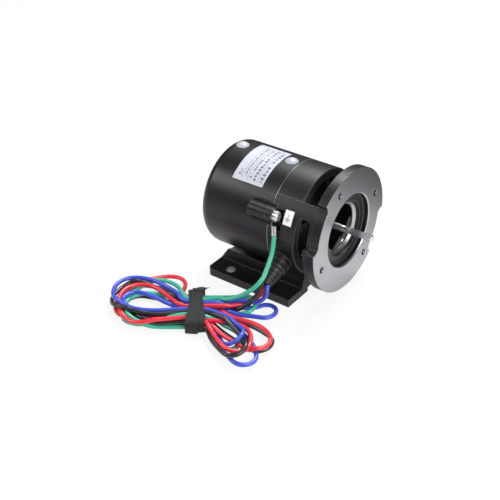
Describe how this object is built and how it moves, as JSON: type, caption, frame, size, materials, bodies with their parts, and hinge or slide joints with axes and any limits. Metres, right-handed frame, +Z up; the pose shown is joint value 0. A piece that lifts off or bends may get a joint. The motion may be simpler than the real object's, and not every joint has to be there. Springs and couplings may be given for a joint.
{
  "type": "pump motor",
  "caption": "Foot-mounted pump motor with a cast front bracket, lobed machined pump flange, D-flat shaft and a tied hank of four coloured leads.",
  "frame": {"origin": "middle of the four foot holes, on the underside of the foot", "axes": "+X along the shaft towards its free end, +Z up from the foot, the lug with the ground screw is on the -Y side"},
  "size_m": [0.153, 0.1755, 0.0965],
  "materials": {
    "cast_paint": "satin black paint on a fine cast surface, flange face machined bare",
    "housing_paint": "satin black paint on drawn steel",
    "lamination": "stacked electrical steel",
    "winding": "varnished copper wire",
    "cast_aluminium": "die-cast",
    "ground_steel": "ground",
    "bearing_steel": "polished",
    "spring_steel": "phosphated",
    "zinc_steel": "bright zinc plate",
    "tinned_copper": "tin plate",
    "white_plastic": "moulded",
    "label_film": "printed film",
    "black_rubber": "moulded, matt",
    "green_pvc": "smooth insulation",
    "blue_pvc": "smooth insulation",
    "red_pvc": "smooth insulation",
    "black_pvc": "smooth insulation",
    "tie_fabric": "woven tape"
  },
  "bodies": {
    "motor": {"front_bracket": "cast_paint", "motor_housing": "housing_paint", "stator_core": "lamination", "stator_winding": "winding", "front_bearing_outer": "bearing_steel", "front_bearing_balls": "bearing_steel", "rear_bearing_outer": "bearing_steel", "rear_bearing_balls": "bearing_steel", "wave_washer": "bearing_steel", "ground_screw": "zinc_steel", "ground_washer": "zinc_steel", "ground_terminal": "tinned_copper", "case_screw": "zinc_steel", "case_washer": "zinc_steel", "hole_plugs": "white_plastic", "rating_label": "label_film", "ground_sticker": "label_film", "strain_relief": "black_rubber", "green_lead": "green_pvc", "blue_lead": "blue_pvc", "red_lead": "red_pvc", "black_lead": "black_pvc", "lead_hank": "blue_pvc", "hank_tie": "tie_fabric"},
    "rotor": {"shaft": "ground_steel", "rotor_core": "lamination", "rotor_cage": "cast_aluminium", "front_bearing_inner": "bearing_steel", "rear_bearing_inner": "bearing_steel", "shaft_circlip": "spring_steel"}
  },
  "joints": [
    {"name": "shaft_spin", "type": "hinge", "parent": "motor", "child": "rotor", "pos_m": [0, 0, 0.05], "axis": [1, 0, 0], "continuous": true}
  ]
}
